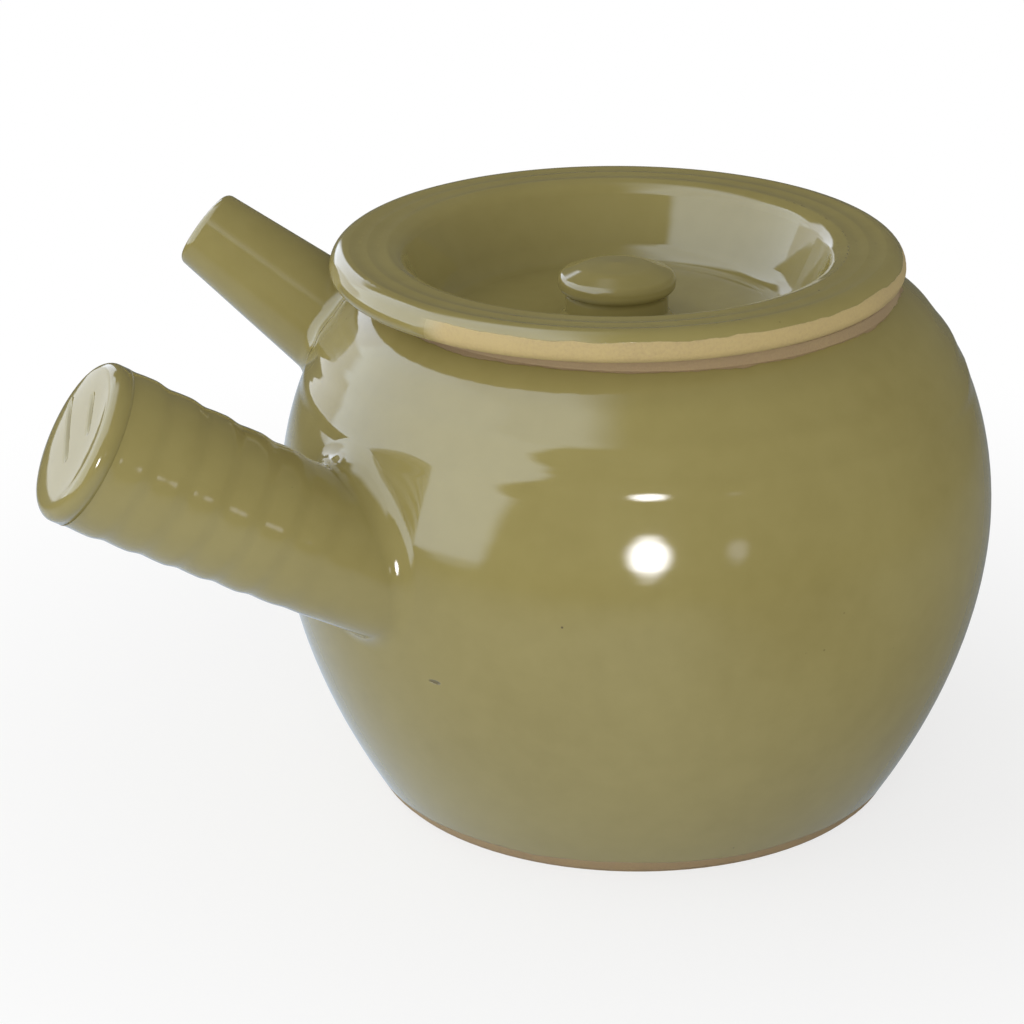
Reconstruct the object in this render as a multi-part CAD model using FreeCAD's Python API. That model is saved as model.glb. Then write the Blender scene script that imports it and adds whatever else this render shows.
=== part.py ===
import FreeCAD, Part
import math
import os

# A thrown stoneware pot with a straight hollow handle, a short tapered spout and a loose sunken lid.
# Millimetres. +Z is up. The origin is the centre of the foot, on the surface the pot stands on.
# The handle points along -X. The spout points to the back left.

# Vessel outline
FOOT_R = 68.0
FOOT_EDGE = 1.2
BELLY_R = 92.5
BELLY_Z = 74.0
FLANK_POWER = 1.87
NECK_R = 66.8
NECK_HEIGHT = 3.65
RIM_Z = 136.7
RIM_WALL = 5.0
RIM_EDGE = 0.9
WALL = 5.5
BASE = 7.0
BASE_CORNER = 9.0

# Share of the shoulder's quarter ellipse that is left below the neck
SHOULDER_RATIO = 0.9314

# Throwing ridges left on the shoulder: height above the foot, swell, half width
RIDGES = (
    (126.5, 0.40, 2.4),
    (118.5, 0.55, 2.8),
    (112.0, 0.35, 2.4),
)

# Lid
LID_SHIFT = 4.9
LID_SHIFT_ANGLE = 165.7
FLANGE_R = 73.1
FLANGE_THICK = 7.5
FLANGE_LOWER_EDGE = 2.4
FLANGE_SIDE = 0.2
CREST_INSET = 5.1
CREST_ROUND = 1.2
OUTER_GROOVE_INSET = 7.4
OUTER_RIDGE_INSET = 9.6
INNER_GROOVE_INSET = 12.1
INNER_RIDGE_INSET = 14.7
GROOVE_DEPTH = 0.35
RIDGE_DIP = 0.15
GROOVE_ROUND = 8.0
RIDGE_ROUND = 2.0
WELL_RIM_INSET = 18.5
WELL_RIM_DIP = 1.6
WELL_RIM_ROUND = 4.5
WELL_FLOOR_R = 46.5
WELL_DEPTH = 19.6
WELL_CORNER = 7.0
PLUG_GAP = 0.5
PLUG_TAPER = 6.0
PLUG_CORNER = 7.0
LID_FLOOR = 5.0

# Knob
KNOB_CAP_R = 15.1
KNOB_STEM_R = 13.2
KNOB_FOOT_R = 14.6
KNOB_FOOT_H = 1.6
KNOB_H = 14.1
KNOB_CAP_H = 6.4
KNOB_UNDERCUT = 1.3
KNOB_LOWER_EDGE = 2.0
KNOB_UPPER_EDGE = 2.0
KNOB_UPPER_EDGE_DROP = 3.1
KNOB_DOME_R = 9.0
KNOB_DOME_DROP = 0.8
KNOB_DOME_ROUND = 10.0

# Spout
SPOUT_ANGLE = 148.3
SPOUT_RISE_ANGLE = 33.2
SPOUT_ROOT_Z = 115.0
SPOUT_LENGTH = 42.5
SPOUT_TIP_R = 10.75
SPOUT_ROOT_R = 14.75
SPOUT_WALL = 3.2
SPOUT_LIP = 2.0
SPOUT_MOUTH_EDGE = 0.8
SPOUT_LUTING = 4.5

# Straining holes through the wall behind the spout
STRAINER_HOLE_R = 2.3
STRAINER_PITCH_R = 6.4
STRAINER_RING_HOLES = 6

# Handle
HANDLE_SIDESTEP = 38.8
HANDLE_RISE_ANGLE = 30.1
HANDLE_ROOT_Z = 82.3
HANDLE_LENGTH = 76.0
HANDLE_END_R = 20.25
HANDLE_ROOT_R = 17.1
HANDLE_WALL = 5.0
HANDLE_LUTING = 7.0
RIB_HEIGHT = 0.45
RIB_PITCH = 9.7
RIB_SKEW_RATIO = 0.45
FIRST_RIB = 12.7
RIB_FADE = 24.0
PAD_THICK = 5.4
PAD_DOME = 1.6
PAD_EDGE = 2.6
VENT_R = 1.5
VENT_FROM_END = 60.0
VENT_TURN = 25.0

# Sampling of the curved outlines, and how far a tube runs into the vessel before it is trimmed
FLANK_STEPS = 9
SHOULDER_STEP = 1.2
RIB_SAMPLES = 5
TUBE_OVERRUN = 30.0

# How closely a luting's own faces must meet those of the pieces that it joins
SEAM_TOLERANCE = 0.001

NECK_Z = RIM_Z - NECK_HEIGHT
SHOULDER_HEIGHT = (NECK_Z - BELLY_Z) / SHOULDER_RATIO
SHOULDER_DROP = (BELLY_R - NECK_R) / (1 - math.sqrt(1 - SHOULDER_RATIO ** 2))
MOUTH_R = NECK_R - RIM_WALL
PLUG_R = MOUTH_R - LID_SHIFT - PLUG_GAP
FLANGE_TOP_Z = RIM_Z + FLANGE_THICK
FLANGE_UPPER_EDGE = FLANGE_THICK - FLANGE_LOWER_EDGE - FLANGE_SIDE
WELL_FLOOR_Z = FLANGE_TOP_Z - WELL_DEPTH
UP = FreeCAD.Vector(0, 0, 1)
ORIGIN = FreeCAD.Vector(0, 0, 0)


def in_section(radius, height):
    """Point of a half section, which lies in the XZ plane."""
    return FreeCAD.Vector(radius, 0, height)


def segment(start, end):
    """Straight edge between two points."""
    return Part.LineSegment(start, end).toShape()


def revolve(edges):
    """Solid turned from a closed half section."""
    return Part.Face(Part.Wire(edges)).revolve(ORIGIN, UP, 360)


def rounded_edges(corners):
    """Edges through the corners (radius, height, rounding), each corner turned by a tangent arc."""
    edges = []
    last = in_section(corners[0][0], corners[0][1])
    for before, corner, after in zip(corners, corners[1:], corners[2:]):
        point = in_section(corner[0], corner[1])
        rounding = corner[2]
        if rounding == 0:
            edges.append(segment(last, point))
            last = point
            continue
        back = (in_section(before[0], before[1]) - point).normalize()
        ahead = (in_section(after[0], after[1]) - point).normalize()
        half = back.getAngle(ahead) / 2
        trim = rounding / math.tan(half)
        bisector = (back + ahead).normalize()
        middle = point + bisector * (rounding / math.sin(half) - rounding)
        start = point + back * trim
        end = point + ahead * trim
        edges.append(segment(last, start))
        edges.append(Part.Arc(start, middle, end).toShape())
        last = end
    edges.append(segment(last, in_section(corners[-1][0], corners[-1][1])))
    return edges


def turned(corners):
    """Solid of revolution from corners that start and end on the axis."""
    edges = rounded_edges(corners)
    first = in_section(corners[0][0], corners[0][1])
    final = in_section(corners[-1][0], corners[-1][1])
    return revolve(edges + [segment(final, first)])


def spline(points):
    """Smooth edge through the points."""
    curve = Part.BSplineCurve()
    curve.interpolate(points)
    return curve.toShape()


def smooth_radius(height):
    """Outer radius of the vessel below its neck, without the throwing ridges."""
    if height < BELLY_Z:
        fall = (BELLY_Z - height) / BELLY_Z
        return BELLY_R - (BELLY_R - FOOT_R) * fall ** FLANK_POWER
    climb = (height - BELLY_Z) / SHOULDER_HEIGHT
    return BELLY_R - SHOULDER_DROP * (1 - math.sqrt(1 - climb ** 2))


def ridged_radius(height):
    """Outer radius of the vessel below its neck, with the throwing ridges."""
    swell = sum(size * math.exp(-(((height - at) / width) ** 2)) for at, size, width in RIDGES)
    return smooth_radius(height) + swell


def shoulder_height(radius):
    """Height at which the shoulder has come in to a radius."""
    drawn_in = (BELLY_R - radius) / SHOULDER_DROP
    return BELLY_Z + SHOULDER_HEIGHT * math.sqrt(1 - (1 - drawn_in) ** 2)


def even_steps(start, end, step):
    """Values from start to end, evenly spaced at about one step."""
    count = max(2, round((end - start) / step))
    return [start + (end - start) * index / count for index in range(count + 1)]


def outline_heights(top):
    """Heights at which the vessel's outline is sampled, from the foot to the top."""
    flank = even_steps(FOOT_EDGE, BELLY_Z, BELLY_Z / FLANK_STEPS)
    return flank[:-1] + even_steps(BELLY_Z, top, SHOULDER_STEP)


def vessel_outside():
    """Filled vessel up to the rim."""
    points = [in_section(ridged_radius(height), height) for height in outline_heights(NECK_Z)]
    points[-1] = in_section(NECK_R, NECK_Z)
    base = [
        segment(ORIGIN, in_section(points[0].x - FOOT_EDGE, 0)),
        segment(in_section(points[0].x - FOOT_EDGE, 0), points[0]),
    ]
    neck = rounded_edges([(NECK_R, NECK_Z), (NECK_R, RIM_Z, RIM_EDGE), (0, RIM_Z)])
    return revolve(base + [spline(points)] + neck + [segment(in_section(0, RIM_Z), ORIGIN)])


def inner_point(height):
    """Point of the vessel's inside wall, square to the outline at a height."""
    probe = 0.01
    slope = (smooth_radius(height + probe) - smooth_radius(height - probe)) / (2 * probe)
    length = math.hypot(1, slope)
    return in_section(smooth_radius(height) - WALL / length, height + WALL * slope / length)


def vessel_inside():
    """Space inside the vessel, with its rounded bottom corner and its mouth."""
    top = shoulder_height(MOUTH_R)
    low = BASE + BASE_CORNER
    points = [inner_point(height) for height in outline_heights(top) if height > low]
    corner_r = points[0].x - BASE_CORNER
    sink = points[0].z - BASE
    reach = math.sqrt(0.5)
    bend = in_section(corner_r + BASE_CORNER * reach, points[0].z - sink * reach)
    floor_centre = in_section(0, BASE)
    top_centre = in_section(0, points[-1].z)
    hollow = revolve([
        segment(floor_centre, in_section(corner_r, BASE)),
        Part.Arc(in_section(corner_r, BASE), bend, points[0]).toShape(),
        spline(points),
        segment(points[-1], top_centre),
        segment(top_centre, floor_centre),
    ])
    mouth_top = RIM_Z + RIM_EDGE
    flare = MOUTH_R + 2 * RIM_EDGE
    mouth = turned([
        (0, BELLY_Z, 0),
        (MOUTH_R, BELLY_Z, 0),
        (MOUTH_R, RIM_Z - RIM_EDGE, RIM_EDGE),
        (flare, mouth_top, 0),
        (0, mouth_top, 0),
    ])
    return hollow.fuse(mouth)


def placed(shape, start, direction):
    """Shape built along +Z from the origin, moved to a start and turned to a direction."""
    moved = shape.copy()
    moved.Placement = FreeCAD.Placement(start, FreeCAD.Rotation(UP, direction))
    return moved


def inward(angle, rise):
    """Direction into the vessel of a tube that points away at an angle and rises outwards."""
    turn = math.radians(angle)
    lift = math.radians(rise)
    return FreeCAD.Vector(
        -math.cos(turn) * math.cos(lift),
        -math.sin(turn) * math.cos(lift),
        -math.sin(lift),
    )


def spout_tip():
    """Centre of the spout's mouth."""
    turn = math.radians(SPOUT_ANGLE)
    root_r = smooth_radius(SPOUT_ROOT_Z)
    root = FreeCAD.Vector(root_r * math.cos(turn), root_r * math.sin(turn), SPOUT_ROOT_Z)
    return root - inward(SPOUT_ANGLE, SPOUT_RISE_ANGLE) * SPOUT_LENGTH


def handle_end():
    """Centre of the handle's end face."""
    root_x = -math.sqrt(smooth_radius(HANDLE_ROOT_Z) ** 2 - HANDLE_SIDESTEP ** 2)
    root = FreeCAD.Vector(root_x, -HANDLE_SIDESTEP, HANDLE_ROOT_Z)
    return root - inward(180, HANDLE_RISE_ANGLE) * HANDLE_LENGTH


def spout_radius(along):
    """Outer radius of the spout at a distance from its mouth."""
    return SPOUT_TIP_R + (SPOUT_ROOT_R - SPOUT_TIP_R) * along / SPOUT_LENGTH


def handle_radius(along):
    """Outer radius of the handle between its ribs, at a distance from its end face."""
    return HANDLE_END_R + (HANDLE_ROOT_R - HANDLE_END_R) * along / HANDLE_LENGTH


def ribbed_radius(along):
    """Outer radius of the handle with its throwing ribs, steeper on the root's side, which fade towards the root."""
    turn = 2 * math.pi * (along - FIRST_RIB) / RIB_PITCH
    wave = (1 + math.cos(turn + RIB_SKEW_RATIO * (1 - math.cos(turn)))) / 2
    fade = min(1, max(0, (HANDLE_LENGTH - along) / RIB_FADE))
    return handle_radius(along) + RIB_HEIGHT * wave * fade


def spout_solid(reach):
    """Filled spout from its mouth to a reach along its axis."""
    foot = spout_radius(reach)
    return turned([(0, 0, 0), (SPOUT_TIP_R, 0, SPOUT_LIP), (foot, reach, 0), (0, reach, 0)])


def spout_bore(reach):
    """Bore of the spout with its eased mouth."""
    mouth = SPOUT_TIP_R - SPOUT_WALL
    return turned([
        (0, -SPOUT_MOUTH_EDGE, 0),
        (mouth + 2 * SPOUT_MOUTH_EDGE, -SPOUT_MOUTH_EDGE, 0),
        (mouth, SPOUT_MOUTH_EDGE, SPOUT_MOUTH_EDGE),
        (spout_radius(reach) - SPOUT_WALL, reach, 0),
        (0, reach, 0),
    ])


def ribbed_handle(reach):
    """Filled ribbed handle from the back of its end pad to a reach along its axis."""
    stations = even_steps(PAD_THICK, reach, RIB_PITCH / RIB_SAMPLES)
    points = [in_section(ribbed_radius(along), along) for along in stations]
    return revolve([
        segment(in_section(0, PAD_THICK), points[0]),
        spline(points),
        segment(points[-1], in_section(0, reach)),
        segment(in_section(0, reach), in_section(0, PAD_THICK)),
    ])


def handle_cavity(reach):
    """Air space inside the handle."""
    first = handle_radius(PAD_THICK) - HANDLE_WALL
    last = handle_radius(reach) - HANDLE_WALL
    return turned([(0, PAD_THICK, 0), (first, PAD_THICK, 0), (last, reach, 0), (0, reach, 0)])


def vent():
    """Steam hole through the underside of the handle, square to its axis."""
    drop = handle_radius(0) + RIB_HEIGHT
    turn = math.radians(VENT_TURN)
    outward = FreeCAD.Vector(math.cos(turn), math.sin(turn), 0)
    return Part.makeCylinder(VENT_R, drop, in_section(0, VENT_FROM_END), outward)


def strainer(along):
    """Straining holes, parallel to the spout's axis, through the wall behind it."""
    start = along - TUBE_OVERRUN / 2
    holes = [Part.makeCylinder(STRAINER_HOLE_R, TUBE_OVERRUN, in_section(0, start))]
    for index in range(STRAINER_RING_HOLES):
        turn = 2 * math.pi * index / STRAINER_RING_HOLES
        across = STRAINER_PITCH_R * math.cos(turn)
        along_side = STRAINER_PITCH_R * math.sin(turn)
        centre = FreeCAD.Vector(across, along_side, start)
        holes.append(Part.makeCylinder(STRAINER_HOLE_R, TUBE_OVERRUN, centre))
    return Part.makeCompound(holes)


def largest(shape):
    """Largest solid of a shape."""
    return max(shape.Solids, key=lambda solid: solid.Volume)


def luting(vessel, tube, radius):
    """Roll of clay smoothed into the corner between the vessel and a tube."""
    joined = vessel.fuse(tube)
    corner = [edge for edge in joined.Edges if is_seam(edge, vessel, tube)]
    return joined.makeFillet(radius, corner).cut([joined], SEAM_TOLERANCE)


def is_seam(edge, vessel, tube):
    """Whether an edge lies on the skin of both solids."""
    near = 0.01
    points = edge.discretize(7)[1:-1]
    return all(
        vessel.Shells[0].distToShape(Part.Vertex(point))[0] < near
        and tube.Shells[0].distToShape(Part.Vertex(point))[0] < near
        for point in points
    )


def lid_offset():
    """Where the loose lid has been pushed to on the rim."""
    turn = math.radians(LID_SHIFT_ANGLE)
    return FreeCAD.Vector(LID_SHIFT * math.cos(turn), LID_SHIFT * math.sin(turn), 0)


def lid_dish():
    """Lid with its flange on the rim and its sunken well."""
    under_z = WELL_FLOOR_Z - LID_FLOOR
    dish = turned([
        (0, under_z, 0),
        (PLUG_R - PLUG_TAPER, under_z, PLUG_CORNER),
        (PLUG_R, RIM_Z, 0),
        (FLANGE_R, RIM_Z, FLANGE_LOWER_EDGE),
        (FLANGE_R, FLANGE_TOP_Z, FLANGE_UPPER_EDGE),
        (FLANGE_R - CREST_INSET, FLANGE_TOP_Z, CREST_ROUND),
        (FLANGE_R - OUTER_GROOVE_INSET, FLANGE_TOP_Z - GROOVE_DEPTH, GROOVE_ROUND),
        (FLANGE_R - OUTER_RIDGE_INSET, FLANGE_TOP_Z - RIDGE_DIP, RIDGE_ROUND),
        (FLANGE_R - INNER_GROOVE_INSET, FLANGE_TOP_Z - RIDGE_DIP - GROOVE_DEPTH, GROOVE_ROUND),
        (FLANGE_R - INNER_RIDGE_INSET, FLANGE_TOP_Z - 2 * RIDGE_DIP, RIDGE_ROUND),
        (FLANGE_R - WELL_RIM_INSET, FLANGE_TOP_Z - WELL_RIM_DIP, WELL_RIM_ROUND),
        (WELL_FLOOR_R, WELL_FLOOR_Z, WELL_CORNER),
        (0, WELL_FLOOR_Z, 0),
    ])
    dish.translate(lid_offset())
    return dish


def lid_knob():
    """Mushroom knob standing on the floor of the well."""
    cap_low = KNOB_H - KNOB_CAP_H
    knob = turned([
        (0, 0, 0),
        (KNOB_FOOT_R, 0, 0),
        (KNOB_STEM_R, KNOB_FOOT_H, KNOB_FOOT_H / 2),
        (KNOB_STEM_R, cap_low - KNOB_UNDERCUT, KNOB_LOWER_EDGE),
        (KNOB_CAP_R, cap_low, KNOB_LOWER_EDGE),
        (KNOB_CAP_R, KNOB_H - KNOB_UPPER_EDGE_DROP, KNOB_UPPER_EDGE),
        (KNOB_DOME_R, KNOB_H - KNOB_DOME_DROP, KNOB_DOME_ROUND),
        (0, KNOB_H, 0),
    ])
    knob.translate(lid_offset() + in_section(0, WELL_FLOOR_Z))
    return knob


def end_pad():
    """Domed clay pad that closes the handle's outer end, built along the handle's axis."""
    edge_r = handle_radius(0)
    back_r = ribbed_radius(PAD_THICK)
    return turned([(0, -PAD_DOME, 0), (edge_r, 0, PAD_EDGE), (back_r, PAD_THICK, 0), (0, PAD_THICK, 0)])


def build():
    """All pieces of the pot by name."""
    skin = vessel_outside()
    spout_at = spout_tip()
    spout_way = inward(SPOUT_ANGLE, SPOUT_RISE_ANGLE)
    spout_reach = SPOUT_LENGTH + TUBE_OVERRUN
    handle_at = handle_end()
    handle_way = inward(180, HANDLE_RISE_ANGLE)
    handle_reach = HANDLE_LENGTH + TUBE_OVERRUN

    spout_full = placed(spout_solid(spout_reach), spout_at, spout_way)
    handle_full = placed(ribbed_handle(handle_reach), handle_at, handle_way)
    hollow_handle = ribbed_handle(handle_reach).cut(handle_cavity(handle_reach)).cut(vent())

    body = skin.cut(vessel_inside()).cut(placed(strainer(SPOUT_LENGTH), spout_at, spout_way))
    spout = placed(spout_solid(spout_reach).cut(spout_bore(spout_reach)), spout_at, spout_way)
    return {
        "pot_body": body,
        "spout_tube": largest(spout.cut(skin)),
        "spout_luting": largest(luting(skin, spout_full, SPOUT_LUTING)),
        "handle_shell": largest(placed(hollow_handle, handle_at, handle_way).cut(skin)),
        "handle_end_pad": placed(end_pad(), handle_at, handle_way),
        "handle_luting": largest(luting(skin, handle_full, HANDLE_LUTING)),
        "lid_dish": lid_dish(),
        "lid_knob": lid_knob(),
    }


os.makedirs("parts", exist_ok=True)
for name, shape in build().items():
    shape.exportStep(f"parts/{name}.step")
    size = shape.BoundBox
    extent = f"{size.XLength:.1f} x {size.YLength:.1f} x {size.ZLength:.1f} mm"
    state = "valid" if shape.isValid() else "not valid"
    print(f"{name}: {len(shape.Solids)} solid, {state}, {shape.Volume / 1000:.1f} cm3, {extent}")
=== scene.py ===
"""Glazes, bare clay, studio and camera for the herbal medicine pot, around its packed construction model."""
import logging
import math
from dataclasses import dataclass
from enum import Enum

import bmesh
import bpy
from mathutils import Matrix, Vector


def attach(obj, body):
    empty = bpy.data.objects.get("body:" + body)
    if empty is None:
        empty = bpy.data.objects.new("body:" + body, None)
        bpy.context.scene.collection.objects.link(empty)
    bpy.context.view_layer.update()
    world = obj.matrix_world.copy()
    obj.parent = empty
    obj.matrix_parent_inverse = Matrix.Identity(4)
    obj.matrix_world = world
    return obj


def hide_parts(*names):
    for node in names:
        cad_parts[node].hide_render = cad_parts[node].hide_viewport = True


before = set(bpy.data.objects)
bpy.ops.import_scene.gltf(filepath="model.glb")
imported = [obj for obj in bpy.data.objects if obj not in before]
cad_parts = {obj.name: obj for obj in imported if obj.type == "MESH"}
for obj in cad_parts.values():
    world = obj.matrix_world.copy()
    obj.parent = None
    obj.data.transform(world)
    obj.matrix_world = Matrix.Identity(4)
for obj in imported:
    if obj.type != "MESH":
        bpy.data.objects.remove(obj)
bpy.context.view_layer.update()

log = logging.getLogger("herb_pot")

MM = 0.001
AIM = Vector((0.0, 0.0, 0.08))

Triple = tuple[float, float, float]
Socket = bpy.types.NodeSocket
Wire = Socket | float | Triple

WHITE: Triple = (1.0, 1.0, 1.0)


class GlazeLine(Enum):
    """Where the glaze stops on a piece."""

    NOWHERE = "glazed all over"
    VESSEL = "bare foot band and bare neck"
    LID = "bare band on the flange and bare underside"


@dataclass(frozen=True)
class Wave:
    """Noise centred on zero: its cells to a metre, its size from lowest to highest and its octaves."""

    scale: float
    swing: float
    detail: float = 2.0


class ShaderBench:
    """Bench on which the nodes of one shader are set out and wired."""

    def __init__(self, tree: bpy.types.NodeTree) -> None:
        """Starts from an empty tree."""
        self.tree = tree
        tree.nodes.clear()

    def feed(self, socket: Socket, value: Wire) -> None:
        """Wires a socket, or sets its value.

        Args:
            socket: Input to feed.
            value: Output of another node, a number or a colour.
        """
        if isinstance(value, Socket):
            self.tree.links.new(value, socket)
        elif isinstance(value, tuple) and socket.type == "RGBA":
            socket.default_value = (*value, 1.0)
        else:
            socket.default_value = value

    def node(
        self, kind: str, inputs: dict[str | int, Wire] | None = None, **settings: object
    ) -> bpy.types.Node:
        """Adds a node.

        Args:
            kind: Type of the node.
            inputs: Values of its inputs, by name or place.
            **settings: Attributes of the node.

        Returns:
            The new node.
        """
        made = self.tree.nodes.new(kind)
        for name, value in settings.items():
            setattr(made, name, value)
        for key, value in (inputs or {}).items():
            self.feed(made.inputs[key], value)
        return made

    def maths(self, operation: str, first: Wire, second: Wire = 0.0) -> Socket:
        """Result of one arithmetic step on one or two values."""
        return self.node("ShaderNodeMath", {0: first, 1: second}, operation=operation).outputs[0]

    def total(self, *values: Wire) -> Socket:
        """Sum of several values."""
        result = values[0]
        for value in values[1:]:
            result = self.maths("ADD", result, value)
        return result

    def product(self, *values: Wire) -> Socket:
        """Product of several values."""
        result = values[0]
        for value in values[1:]:
            result = self.maths("MULTIPLY", result, value)
        return result

    def step(self, value: Wire, start: Wire, end: Wire, low: Wire = 0.0, high: Wire = 1.0) -> Socket:
        """Makes a smooth change of level.

        Args:
            value: Value that is followed.
            start: Value at which the change starts.
            end: Value at which it ends, which may be below the start.
            low: Level before the start.
            high: Level past the end.

        Returns:
            The level.
        """
        ramp = {0: value, 1: start, 2: end, 3: low, 4: high}
        return self.node("ShaderNodeMapRange", ramp, interpolation_type="SMOOTHSTEP").outputs[0]

    def waver(self, value: Wire, place: Wire, *waves: Wave) -> Socket:
        """Adds waves to a value.

        Args:
            value: Middle value.
            place: Coordinates.
            *waves: Waves to add.

        Returns:
            The wavering value.
        """
        for wave in waves:
            centred = self.maths("SUBTRACT", self.noise(place, wave.scale, wave.detail), 0.5)
            value = self.maths("ADD", value, self.maths("MULTIPLY", centred, wave.swing))
        return value

    def noise(self, place: Wire, scale: float, detail: float = 2.0) -> Socket:
        """Noise from 0 to 1 with a number of cells to a metre."""
        inputs = {"Vector": place, "Scale": scale, "Detail": detail, "Roughness": 0.5}
        return self.node("ShaderNodeTexNoise", inputs).outputs[0]

    def length(self, vector: Wire) -> Socket:
        """Length of a vector."""
        return self.node("ShaderNodeVectorMath", {0: vector}, operation="LENGTH").outputs["Value"]

    def mix(self, share: Wire, first: Wire, second: Wire) -> Socket:
        """Colour between two colours."""
        made = self.node("ShaderNodeMix", {0: share, 6: first, 7: second}, data_type="RGBA")
        return made.outputs[2]

    def stretch(self, place: Wire, scale: Triple) -> Socket:
        """Coordinates scaled along each axis."""
        made = self.node("ShaderNodeMapping", {"Vector": place})
        made.inputs["Scale"].default_value = scale
        return made.outputs[0]

    def split(self, place: Wire) -> tuple[Socket, Socket, Socket]:
        """The three parts of a vector."""
        parts = self.node("ShaderNodeSeparateXYZ", {0: place}).outputs
        return parts[0], parts[1], parts[2]

    def blend(self, share: Wire, first: bpy.types.Node, second: bpy.types.Node) -> bpy.types.Node:
        """Shader between two shaders."""
        return self.node("ShaderNodeMixShader", {0: share, 1: first.outputs[0], 2: second.outputs[0]})

    def glow(self, colour: Wire) -> bpy.types.Node:
        """Shader that gives off a colour."""
        return self.node("ShaderNodeEmission", {"Color": colour, "Strength": 1.0})

    def finish(self, shader: bpy.types.Node) -> None:
        """Wires a shader to the material's output."""
        self.node("ShaderNodeOutputMaterial", {"Surface": shader.outputs[0]})


def blank_material(name: str) -> tuple[bpy.types.Material, ShaderBench]:
    """New material with its bench."""
    made = bpy.data.materials.new(name)
    made.use_nodes = True
    return made, ShaderBench(made.node_tree)


@dataclass(frozen=True)
class BareBand:
    """Unglazed band round the front of the lid's flange, and the lid's bare underside.

    Heights are above the table, and azimuths are in degrees from -Y towards +X.
    """

    axis: tuple[float, float] = (-4.75 * MM, 1.21 * MM)
    inner_radius: float = 70.0 * MM
    top: float = 142.2 * MM
    first: float = -54.0
    last: float = 78.0
    seat: float = 136.75 * MM
    plug_radius: float = 48.9 * MM
    plug_foot: float = 124.0 * MM
    plug_slope: float = 0.45
    plug_floor: float = 122.0 * MM
    edge_waves: tuple[Wave, ...] = (Wave(28.0, 2.2 * MM), Wave(190.0, 0.9 * MM))
    edge_blur: float = 0.15 * MM
    end_blur: float = 4.0
    blur: float = 0.1 * MM

    def share(self, bench: ShaderBench, place: Wire) -> Socket:
        """Share of bare clay on the lid.

        Args:
            bench: Bench of the material.
            place: Object coordinates.

        Returns:
            The share, from 0 on glaze to 1 on clay.
        """
        across, deep, height = bench.split(place)
        across = bench.maths("SUBTRACT", across, self.axis[0])
        deep = bench.maths("SUBTRACT", deep, self.axis[1])
        square = bench.total(bench.product(across, across), bench.product(deep, deep))
        reach = bench.maths("SQRT", square)
        azimuth = bench.maths("DEGREES", bench.maths("ARCTAN2", across, bench.product(deep, -1.0)))
        edge = bench.waver(self.top, place, *self.edge_waves)
        band = bench.product(
            bench.step(height, edge, bench.total(edge, -self.edge_blur)),
            bench.step(reach, self.inner_radius, self.inner_radius + self.blur),
            bench.step(azimuth, self.first - self.end_blur, self.first + self.end_blur),
            bench.step(azimuth, self.last + self.end_blur, self.last - self.end_blur),
        )
        rise = bench.total(height, -self.plug_foot)
        skirt = bench.total(self.plug_radius, bench.product(rise, self.plug_slope))
        outside = bench.step(reach, skirt, bench.total(skirt, self.blur))
        below = bench.step(height, self.plug_floor, self.plug_floor - self.blur)
        under = bench.product(
            bench.step(height, self.seat + self.blur / 2, self.seat - self.blur / 2),
            bench.maths("MAXIMUM", outside, below),
        )
        return bench.maths("MAXIMUM", band, under)


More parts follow.
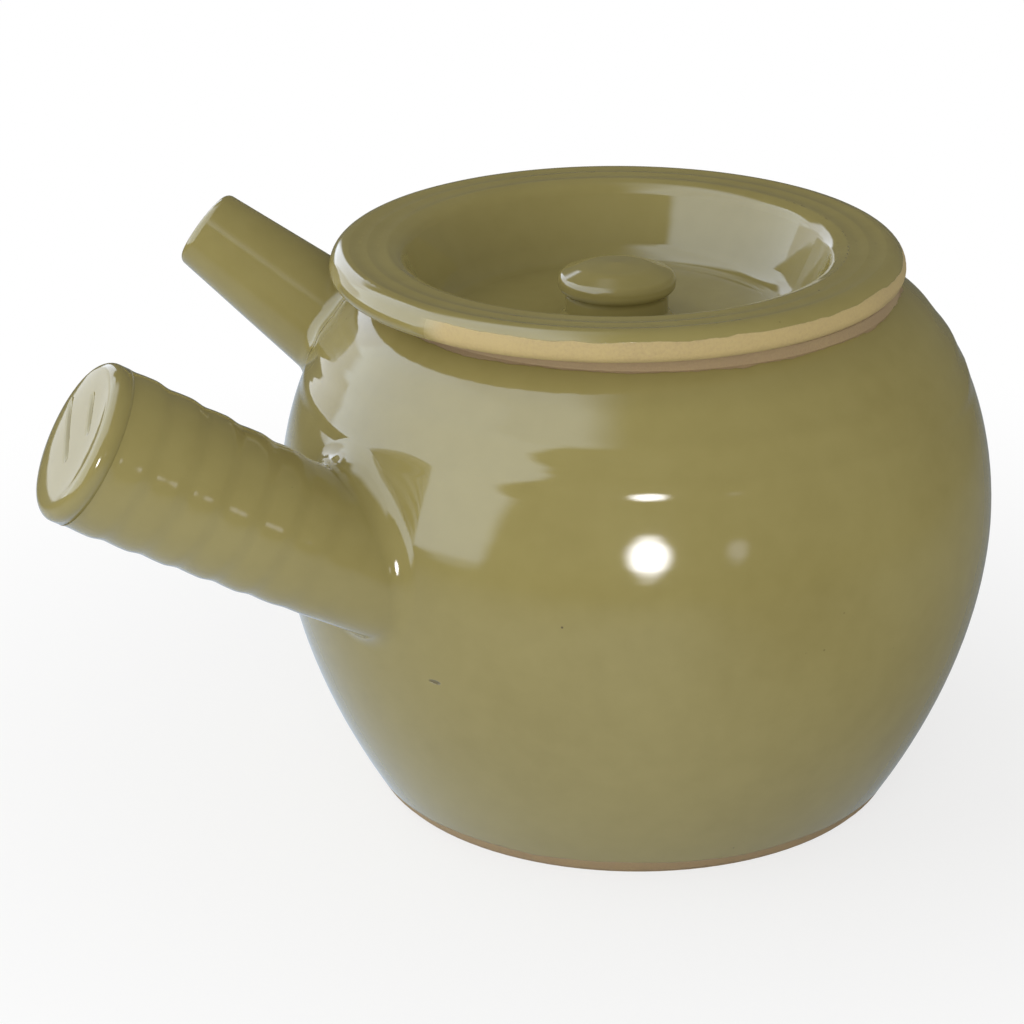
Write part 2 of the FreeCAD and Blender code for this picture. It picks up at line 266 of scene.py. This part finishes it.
@dataclass(frozen=True)
class OliveGlaze:
    """Clear olive ash glaze over buff stoneware, with the places that it leaves bare."""

    thin: Triple = (0.270, 0.230, 0.084)
    thick: Triple = (0.205, 0.168, 0.052)
    thickness: float = 0.35
    clouds: tuple[Wave, ...] = (Wave(20.0, 0.8, 3.0), Wave(170.0, 0.3))
    gloss: float = 0.07
    smudges: tuple[Wave, ...] = (Wave(45.0, 0.05), Wave(900.0, 0.02))
    refraction: float = 1.5

    speck: Triple = (0.060, 0.045, 0.020)
    speck_cells: float = 190.0
    speck_rarity: float = 0.88
    speck_radii: tuple[float, float] = (0.075, 0.030)

    clay: Triple = (0.415, 0.315, 0.130)
    clay_dark: Triple = (0.290, 0.205, 0.105)
    lid_darkness: float = 0.2
    vessel_darkness: float = 0.9
    patches: tuple[Wave, ...] = (Wave(60.0, 0.6), Wave(1400.0, 0.7))
    clay_roughness: float = 0.88

    foot_line: float = 3.6 * MM
    neck_line: float = 132.6 * MM
    line_blur: float = 0.2 * MM
    line_waves: tuple[Wave, ...] = (Wave(30.0, 2.4 * MM), Wave(260.0, 0.8 * MM))
    band: BareBand = BareBand()

    ring_height: float = 110.0 * MM
    ring_swell: float = 0.22 * MM
    ring_width: float = 3.2 * MM
    ring_wave: Wave = Wave(25.0, 1.2 * MM)
    rings: Wave = Wave(210.0, 0.04 * MM, 1.0)
    rings_squash: Triple = (0.05, 0.05, 1.0)
    undulation: Wave = Wave(55.0, 0.10 * MM)
    grain: Wave = Wave(1800.0, 0.12 * MM, 3.0)
    glaze_coat: float = 0.15 * MM

    pit: Triple = (-68.1 * MM, -60.0 * MM, 56.5 * MM)
    pit_reach: float = 2.0 * MM
    pit_core: float = 1.2 * MM
    pit_squash: Triple = (1.0, 1.0, 3.2)
    pit_wave: Wave = Wave(900.0, 0.8 * MM)
    pit_depth: float = 0.25 * MM
    # painted shade: how far the pit is darkened towards the speck colour
    painted_pit_shade: float = 0.6

    def material(self, name: str, line: GlazeLine) -> bpy.types.Material:
        """Makes the finish of one piece.

        Args:
            name: Name of the material.
            line: Where the glaze stops on the piece.

        Returns:
            The material.
        """
        made, bench = blank_material(name)
        place = bench.node("ShaderNodeTexCoord").outputs["Object"]
        bare = self.bare_share(bench, place, line)
        glazed = self.glaze_colour(bench, place, line)
        colour = bench.mix(bare, glazed, self.clay_colour(bench, place, line))
        smudge = bench.waver(self.gloss, place, *self.smudges)
        roughness = bench.node("ShaderNodeMix", {0: bare, 2: smudge, 3: self.clay_roughness}).outputs[0]
        bench.finish(bench.node("ShaderNodeBsdfPrincipled", {
            "Base Color": colour,
            "Roughness": roughness,
            "IOR": self.refraction,
            "Normal": self.surface(bench, place, bare, line),
        }))
        return made

    def bare_share(self, bench: ShaderBench, place: Wire, line: GlazeLine) -> Wire:
        """Share of bare clay, from 0 on glaze to 1 on clay.

        Args:
            bench: Bench of the material.
            place: Object coordinates.
            line: Where the glaze stops.

        Returns:
            The share.
        """
        if line is GlazeLine.NOWHERE:
            return 0.0
        if line is GlazeLine.LID:
            return self.band.share(bench, place)
        height = bench.waver(bench.split(place)[2], place, *self.line_waves)
        foot = bench.step(height, self.foot_line + self.line_blur, self.foot_line)
        neck = bench.step(height, self.neck_line, self.neck_line + self.line_blur)
        return bench.maths("MAXIMUM", foot, neck)

    def glaze_colour(self, bench: ShaderBench, place: Wire, line: GlazeLine) -> Socket:
        """Colour of the glaze: clouds, fine mottle and iron specks, and painted shade in the pit on the
        vessel.

        Args:
            bench: Bench of the material.
            place: Object coordinates.
            line: Where the glaze stops, which tells the vessel from the rest.

        Returns:
            The colour.
        """
        cloud = bench.waver(self.thickness, place, *self.clouds)
        body = bench.mix(bench.step(cloud, 0.0, 1.0), self.thin, self.thick)
        cells = bench.node("ShaderNodeTexVoronoi", {"Vector": place, "Scale": self.speck_cells}).outputs
        chance = bench.node("ShaderNodeSeparateColor", {0: cells["Color"]}).outputs[0]
        lucky = bench.step(chance, self.speck_rarity, 1.0)
        dot = bench.step(cells["Distance"], *self.speck_radii)
        specked = bench.mix(bench.product(dot, lucky), body, self.speck)
        if line is not GlazeLine.VESSEL:
            return specked
        # painted shade: the pit is darkened towards the speck colour, beside its shallow bump
        shade = bench.product(self.pit_share(bench, place), self.painted_pit_shade)
        return bench.mix(shade, specked, self.speck)

    def pit_share(self, bench: ShaderBench, place: Wire) -> Socket:
        """Share of the short flat pit in the vessel's wall below the handle, which sets its depth and its
        painted shade.
        """
        offset = bench.node("ShaderNodeVectorMath", {0: place, 1: self.pit}, operation="SUBTRACT").outputs[0]
        reach = bench.length(bench.stretch(offset, self.pit_squash))
        return bench.step(bench.waver(reach, place, self.pit_wave), self.pit_reach, self.pit_core)

    def clay_colour(self, bench: ShaderBench, place: Wire, line: GlazeLine) -> Socket:
        """Colour of the bare clay: warm patches and grain, darker on the vessel than on the lid."""
        darkness = self.lid_darkness if line is GlazeLine.LID else self.vessel_darkness
        patch = bench.waver(darkness, place, *self.patches)
        return bench.mix(bench.step(patch, 0.0, 1.0), self.clay, self.clay_dark)

    def surface(self, bench: ShaderBench, place: Wire, bare: Wire, line: GlazeLine) -> Socket:
        """Normal of the surface: throwing rings, soft undulation, clay grain and the edge of the glaze.

        Args:
            bench: Bench of the material.
            place: Object coordinates.
            bare: Share of bare clay.
            line: Where the glaze stops, which tells the vessel, with its raised ring and pit, from the rest.

        Returns:
            The bumped normal.
        """
        rings = bench.noise(bench.stretch(place, self.rings_squash), self.rings.scale, self.rings.detail)
        height = bench.total(
            self.vessel_relief(bench, place) if line is GlazeLine.VESSEL else 0.0,
            bench.product(rings, self.rings.swing),
            bench.product(bench.noise(place, self.undulation.scale), self.undulation.swing),
            bench.product(bench.noise(place, self.grain.scale, self.grain.detail), bare, self.grain.swing),
            bench.product(bare, -self.glaze_coat),
        )
        bump = {"Height": height, "Strength": 1.0, "Distance": 1.0}
        return bench.node("ShaderNodeBump", bump).outputs[0]

    def vessel_relief(self, bench: ShaderBench, place: Wire) -> Socket:
        """Height of the raised throwing ring on the vessel's shoulder, less the depth of the pit."""
        level = bench.total(bench.split(place)[2], -self.ring_height)
        away_from = bench.maths("ABSOLUTE", bench.waver(level, place, self.ring_wave))
        ring = bench.step(away_from, self.ring_width, 0.0, 0.0, self.ring_swell)
        return bench.total(ring, bench.product(self.pit_share(bench, place), -self.pit_depth))


@dataclass
class Dressing:
    """Construction nodes of one sub-assembly, and where the glaze stops on each."""

    name: str
    lines: dict[str, GlazeLine]

    def build(self, glaze: OliveGlaze) -> None:
        """Gives every node of the sub-assembly its finish.

        Args:
            glaze: Finish of the sub-assembly.
        """
        for name, line in self.lines.items():
            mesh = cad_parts[name].data
            mesh.materials[0] = glaze.material(f"{name}_finish", line)
            log.info("%s: %s dressed, %d faces", self.name, name, len(mesh.polygons))


@dataclass(frozen=True)
class Crease:
    """Score in the clay between two points of the handle's end face, which tapers towards both."""

    start: tuple[float, float]
    end: tuple[float, float]
    depth: float
    width: float

    def sink(self, point: Vector) -> float:
        """Depth of the score at a point of the face.

        Args:
            point: Point in the face's own frame.

        Returns:
            The depth in metres.
        """
        start, end = Vector(self.start), Vector(self.end)
        along = (end - start).normalized()
        length = (end - start).length
        reach = (point.xy - start).dot(along)
        aside = (point.xy - start - along * reach).length
        taper = math.sin(math.pi * reach / length) if 0.0 < reach < length else 0.0
        return self.depth * math.sqrt(taper) * math.exp(-((aside / self.width) ** 2))


@dataclass
class EndPad:
    """Uneven domed clay pad with two scores on the handle's outer end, in place of its construction node.

    It is built along the handle's axis, with the middle of its rim's plane at the origin and the pot at +Z.
    The lean is how much thicker than in the middle the dome gets towards +X and +Y.
    """

    centre: Triple = (-149.34 * MM, -38.80 * MM, 120.42 * MM)
    rise: float = 30.1
    radius: float = 20.15 * MM
    back_radius: float = 20.12 * MM
    thickness: float = 5.4 * MM
    rounding: float = 2.9 * MM
    rounding_steps: int = 8
    dome: float = 0.8 * MM
    dome_flatness: int = 4
    lean: tuple[float, float] = (2.0, -0.6)
    rings: int = 44
    steps: int = 160
    merge: float = 0.002 * MM
    level: float = 0.01 * MM
    creases: tuple[Crease, ...] = (
        Crease((12.5 * MM, 5.0 * MM), (-5.0 * MM, -4.7 * MM), 1.1 * MM, 0.55 * MM),
        Crease((1.0 * MM, 11.6 * MM), (-8.8 * MM, 4.5 * MM), 0.9 * MM, 0.50 * MM),
    )

    def build(self, glaze: OliveGlaze) -> bpy.types.Object:
        """Makes the pad.

        Args:
            glaze: Finish of the pad.

        Returns:
            The pad, in the construction node's place.
        """
        shape = bmesh.new()
        self.profile(shape)
        bmesh.ops.spin(
            shape, geom=shape.verts[:] + shape.edges[:], axis=(0, 0, 1), cent=(0, 0, 0),
            angle=math.tau, steps=self.steps, use_merge=True, use_duplicate=False,
        )
        bmesh.ops.remove_doubles(shape, verts=shape.verts[:], dist=self.merge)
        for corner in shape.verts:
            corner.co.z += self.relief(corner.co)
        bmesh.ops.recalc_face_normals(shape, faces=shape.faces[:])
        bmesh.ops.transform(shape, matrix=self.placement(), verts=shape.verts[:])
        for face in shape.faces:
            face.smooth = True
        pad = piece_from(shape, "scored_end_pad")
        pad.data.materials.append(glaze.material("end_pad_finish", GlazeLine.NOWHERE))
        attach(pad, "pot")
        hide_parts("handle_end_pad")
        log.info("scored_end_pad made, %d faces", len(pad.data.polygons))
        return pad

    def profile(self, shape: bmesh.types.BMesh) -> None:
        """Draws the half section with its rounded rim, in fine steps across the face."""
        corners = [
            (0.0, 0.0),
            (self.radius, 0.0),
            (self.back_radius, self.thickness),
            (0.0, self.thickness),
        ]
        points = [shape.verts.new((reach, 0.0, depth)) for reach, depth in corners]
        shape.faces.new(points)
        bmesh.ops.bevel(
            shape, geom=[points[1]], offset=self.rounding, offset_type="OFFSET",
            segments=self.rounding_steps, profile=0.5, affect="VERTICES", material=-1,
        )
        bmesh.ops.delete(shape, geom=shape.faces[:], context="FACES_ONLY")
        axis = [edge for edge in shape.edges if all(abs(end.co.x) < self.level for end in edge.verts)]
        bmesh.ops.delete(shape, geom=axis, context="EDGES")
        front = [edge for edge in shape.edges if all(abs(end.co.z) < self.level for end in edge.verts)]
        bmesh.ops.subdivide_edges(shape, edges=front, cuts=self.rings)

    def relief(self, point: Vector) -> float:
        """How far the face is moved along the axis at a point: out for the dome, in for the scores."""
        share = min(1.0, point.xy.length / self.radius)
        front = max(0.0, 1.0 - point.z / self.rounding)
        lean = 1.0 + Vector(self.lean).dot(point.xy) / self.radius
        swell = self.dome * (1.0 - share ** self.dome_flatness) * lean
        return front * (sum(crease.sink(point) for crease in self.creases) - swell)

    def placement(self) -> Matrix:
        """Frame of the handle's end: X along the table, Z into the handle."""
        lift = math.radians(self.rise)
        inward = Vector((math.cos(lift), 0.0, -math.sin(lift)))
        across = Vector((0.0, 1.0, 0.0))
        upward = inward.cross(across)
        turn = Matrix((across, upward, inward)).transposed().to_4x4()
        return Matrix.Translation(self.centre) @ turn


@dataclass
class Viewpoint:
    """Camera at the place from which the pot is pictured."""

    stand: Triple = (-0.2255, -0.7516, 0.3900)
    heading: float = -14.357
    pitch: float = 22.185
    roll: float = -0.430
    lens: float = 113.46
    sensor: float = 36.0
    nearest: float = 0.05
    furthest: float = 50.0

    def build(self) -> bpy.types.Object:
        """Makes the camera the scene's own."""
        data = bpy.data.cameras.new("camera")
        data.lens = self.lens
        data.sensor_width = self.sensor
        data.clip_start = self.nearest
        data.clip_end = self.furthest
        camera = bpy.data.objects.new("camera", data)
        bpy.context.scene.collection.objects.link(camera)
        turn = Matrix.Rotation(math.radians(self.heading), 4, "Z")
        tilt = Matrix.Rotation(math.radians(90.0 - self.pitch), 4, "X")
        lean = Matrix.Rotation(math.radians(self.roll), 4, "Z")
        camera.matrix_world = Matrix.Translation(self.stand) @ turn @ tilt @ lean
        bpy.context.scene.camera = camera
        return camera


def away(azimuth: float, elevation: float, distance: float) -> Vector:
    """Point at an azimuth from -Y towards +X, an elevation and a distance from the pot's middle."""
    turn = math.radians(azimuth)
    lift = math.radians(elevation)
    level = math.cos(lift) * distance
    return AIM + Vector((math.sin(turn) * level, -math.cos(turn) * level, math.sin(lift) * distance))


@dataclass
class SoftLamp:
    """Area lamp that faces the pot and isn't mirrored in it."""

    name: str
    azimuth: float
    elevation: float
    distance: float
    width: float
    height: float
    power: float
    tint: Triple = WHITE

    def build(self) -> bpy.types.Object:
        """Hangs the lamp."""
        data = bpy.data.lights.new(self.name, "AREA")
        data.shape = "RECTANGLE"
        data.size = self.width
        data.size_y = self.height
        data.energy = self.power
        data.color = self.tint
        lamp = bpy.data.objects.new(self.name, data)
        bpy.context.scene.collection.objects.link(lamp)
        lamp.location = away(self.azimuth, self.elevation, self.distance)
        lamp.rotation_mode = "QUATERNION"
        lamp.rotation_quaternion = (AIM - lamp.location).to_track_quat("-Z", "Y")
        lamp.visible_glossy = False
        log.info("lamp %s hung", self.name)
        return lamp


@dataclass
class MirroredCard:
    """Glowing card that only the glaze's reflections meet.

    It faces the pot unless it is given a turn about the vertical and a tilt from level, in degrees.
    The edge is the share of its half width and half height over which the glow fades.
    """

    name: str
    azimuth: float
    elevation: float
    distance: float
    width: float
    height: float
    glow: Triple
    edge: float
    round: bool = False
    turn: float | None = None
    tilt: float | None = None

    def build(self) -> bpy.types.Object:
        """Hangs the card."""
        shape = bmesh.new()
        shape.loops.layers.uv.new("card")
        bmesh.ops.create_grid(
            shape, x_segments=1, y_segments=1, size=1.0, matrix=self.placement(), calc_uvs=True
        )
        card = piece_from(shape, self.name)
        finish, bench = blank_material(f"{self.name}_finish")
        clear = bench.node("ShaderNodeBsdfTransparent")
        bench.finish(bench.blend(self.lit_share(bench), clear, bench.glow(self.glow)))
        card.data.materials.append(finish)
        only_mirrored(card)
        log.info("card %s hung", self.name)
        return card

    def placement(self) -> Matrix:
        """Place, turn and size of the card."""
        stand = Matrix.Translation(away(self.azimuth, self.elevation, self.distance))
        heading = self.azimuth if self.turn is None else self.turn
        lean = 90.0 - self.elevation if self.tilt is None else self.tilt
        turn = Matrix.Rotation(math.radians(heading), 4, "Z")
        tilt = Matrix.Rotation(math.radians(lean), 4, "X")
        return stand @ turn @ tilt @ Matrix.Diagonal((self.width / 2, self.height / 2, 1.0, 1.0))

    def lit_share(self, bench: ShaderBench) -> Socket:
        """Share of the glow across the card, from 1 in its middle to 0 at its edge."""
        place = bench.split(bench.node("ShaderNodeUVMap", uv_map="card").outputs[0])
        side, rise = (
            bench.maths("ABSOLUTE", bench.total(bench.product(part, 2.0), -1.0)) for part in place[:2]
        )
        if self.round:
            reach = bench.maths("SQRT", bench.total(bench.product(side, side), bench.product(rise, rise)))
            return bench.step(reach, 1.0, 1.0 - self.edge)
        return bench.product(
            bench.step(side, 1.0, 1.0 - self.edge),
            bench.step(rise, 1.0, 1.0 - self.edge),
        )


def only_mirrored(backdrop: bpy.types.Object) -> None:
    """Hides a backdrop from every ray but reflections."""
    for ray in ("camera", "diffuse", "transmission", "volume_scatter", "shadow"):
        setattr(backdrop, f"visible_{ray}", False)


@dataclass
class Studio:
    """Pale table, plain surroundings, lamps and mirrored cards."""

    front: float = 0.573
    back: float = 2.2
    side: float = 2.0
    heading: float = -36.2
    ambient: float = 1.12
    overhead: float = 0.40
    sky_band: tuple[float, float] = (0.1, 0.95)
    room: Triple = (0.125, 0.125, 0.110)
    room_radius: float = 3.2
    # painted light: glow of the window-lit paper as the glaze mirrors it
    painted_paper_light: Triple = (0.62, 0.72, 0.86)
    board: Triple = (0.86, 0.86, 0.86)
    fade_band: tuple[float, float] = (0.10, 0.34)
    fade_start: float = 0.72
    mirrored_band: tuple[float, float] = (0.62, 0.22)
    # painted shadow: where the pot's shadow is painted on the mirrored table, and how dim it is there
    painted_shadow_band: tuple[float, float] = (0.12, -0.08)
    painted_shadow_level: float = 0.2
    lamps: tuple[SoftLamp, ...] = (
        SoftLamp("window_light", -105.7, 27.0, 1.6, 2.4, 2.2, 15.0, tint=(0.96, 0.98, 1.0)),
        SoftLamp("front_light", -25.0, 18.0, 1.8, 1.4, 1.2, 11.0),
    )
    cards: tuple[MirroredCard, ...] = (
        MirroredCard("window", -103.5, 27.0, 1.6, 3.5, 2.4, (2.9, 3.25, 3.7), edge=0.18),
        MirroredCard(
            "skylight", -93.5, 50.1, 1.79, 2.3, 2.6, (2.6, 2.9, 3.3), edge=0.42, turn=-20.0, tilt=0.0
        ),
        MirroredCard("back_window", -163.0, 17.0, 1.9, 1.1, 1.1, (2.4, 2.6, 3.0), edge=0.25),
        MirroredCard("low_window", -149.0, 3.5, 1.85, 1.15, 1.0, (1.7, 1.8, 1.95), edge=0.30),
        MirroredCard("front_lamp", -12.4, 3.2, 1.5, 0.44, 0.44, (40.0, 40.0, 42.0), edge=0.72, round=True),
        MirroredCard("side_glint", 14.3, 2.6, 1.5, 0.26, 0.26, (2.6, 2.6, 2.9), edge=0.8, round=True),
    )

    def build(self) -> None:
        """Sets up the studio."""
        self.surroundings()
        self.table()
        self.dark_room()
        for hung in (*self.lamps, *self.cards):
            hung.build()
        bpy.context.scene.view_settings.view_transform = "Standard"

    def surroundings(self) -> None:
        """White for what is seen directly, mirrored or through a piece, and a plain level for the rest."""
        world = bpy.data.worlds.new("surroundings")
        world.use_nodes = True
        bench = ShaderBench(world.node_tree)
        rays = bench.node("ShaderNodeLightPath").outputs
        seen = bench.maths("MAXIMUM", rays["Is Camera Ray"], rays["Is Glossy Ray"])
        seen = bench.maths("MAXIMUM", seen, rays["Is Transmission Ray"])
        height = bench.split(bench.node("ShaderNodeTexCoord").outputs["Generated"])[2]
        level = bench.step(height, *self.sky_band, self.ambient, self.overhead)
        plain = bench.node("ShaderNodeBackground", {"Color": WHITE, "Strength": level})
        white = bench.node("ShaderNodeBackground", {"Color": WHITE, "Strength": 1.0})
        both = bench.blend(seen, plain, white)
        bench.node("ShaderNodeOutputWorld", {"Surface": both.outputs[0]})
        bpy.context.scene.world = world

    def table(self) -> None:
        """Pale table top that keeps the pot's soft shadow and fades to the white of the surroundings; in
        reflections it glows with painted light and a painted shadow.
        """
        shape = bmesh.new()
        turn = Matrix.Rotation(math.radians(self.heading), 4, "Z")
        middle = Matrix.Translation((0.0, (self.back - self.front) / 2, 0.0))
        size = Matrix.Diagonal((self.side, (self.back + self.front) / 2, 1.0, 1.0))
        bmesh.ops.create_grid(shape, x_segments=1, y_segments=1, size=1.0, matrix=turn @ middle @ size)
        top = piece_from(shape, "table_top")
        finish, bench = blank_material("table_finish")
        place = bench.node("ShaderNodeTexCoord").outputs["Object"]
        rays = bench.node("ShaderNodeLightPath").outputs
        whitened = bench.step(bench.length(place), *self.fade_band, self.fade_start, 1.0)
        matt = bench.node("ShaderNodeBsdfDiffuse", {"Color": self.board})
        seen = bench.blend(bench.product(whitened, rays["Is Camera Ray"]), matt, bench.glow(WHITE))
        # in reflections the table glows with painted light and a painted shadow instead of being lit
        mirrored = bench.glow(self.mirrored_table(bench, place))
        bench.finish(bench.blend(rays["Is Glossy Ray"], seen, mirrored))
        top.data.materials.append(finish)
        log.info("table laid")

    def mirrored_table(self, bench: ShaderBench, place: Wire) -> Socket:
        """Glow of the table in the glaze's reflections: painted window light near the pot, the pot's painted
        shadow on the right, and dim further out.

        Args:
            bench: Bench of the material.
            place: Object coordinates.

        Returns:
            The colour.
        """
        # painted shadow of the pot on the right of the mirrored table
        painted_light_share = bench.step(bench.split(place)[0], *self.painted_shadow_band, self.painted_shadow_level, 1.0)
        # painted light: paler glow near the pot, fading further out
        near = bench.step(bench.length(place), *self.mirrored_band)
        return bench.mix(bench.product(near, painted_light_share), self.room, self.painted_paper_light)

    def dark_room(self) -> None:
        """Dim walls that only the glaze's reflections meet."""
        shape = bmesh.new()
        bmesh.ops.create_uvsphere(shape, u_segments=48, v_segments=24, radius=self.room_radius)
        room = piece_from(shape, "dark_room")
        finish, bench = blank_material("room_finish")
        bench.finish(bench.glow(self.room))
        room.data.materials.append(finish)
        only_mirrored(room)
        log.info("dark room closed")


def piece_from(shape: bmesh.types.BMesh, name: str) -> bpy.types.Object:
    """Object of a finished bmesh.

    Args:
        shape: Bmesh, which is freed.
        name: Name of the object.

    Returns:
        The object, linked to the scene.
    """
    mesh = bpy.data.meshes.new(name)
    shape.to_mesh(mesh)
    shape.free()
    made = bpy.data.objects.new(name, mesh)
    bpy.context.scene.collection.objects.link(made)
    return made


def main() -> None:
    """Builds camera, studio and finishes in order."""
    logging.basicConfig(level=logging.INFO, format="%(name)s: %(message)s")
    Viewpoint().build()
    Studio().build()
    glaze = OliveGlaze()
    Dressing("pot", {
        "pot_body": GlazeLine.VESSEL,
        "spout_tube": GlazeLine.NOWHERE,
        "spout_luting": GlazeLine.NOWHERE,
        "handle_shell": GlazeLine.NOWHERE,
        "handle_luting": GlazeLine.NOWHERE,
    }).build(glaze)
    Dressing("lid", {
        "lid_dish": GlazeLine.LID,
        "lid_knob": GlazeLine.NOWHERE,
    }).build(glaze)
    EndPad().build(glaze)


if __name__ == "__main__":
    main()
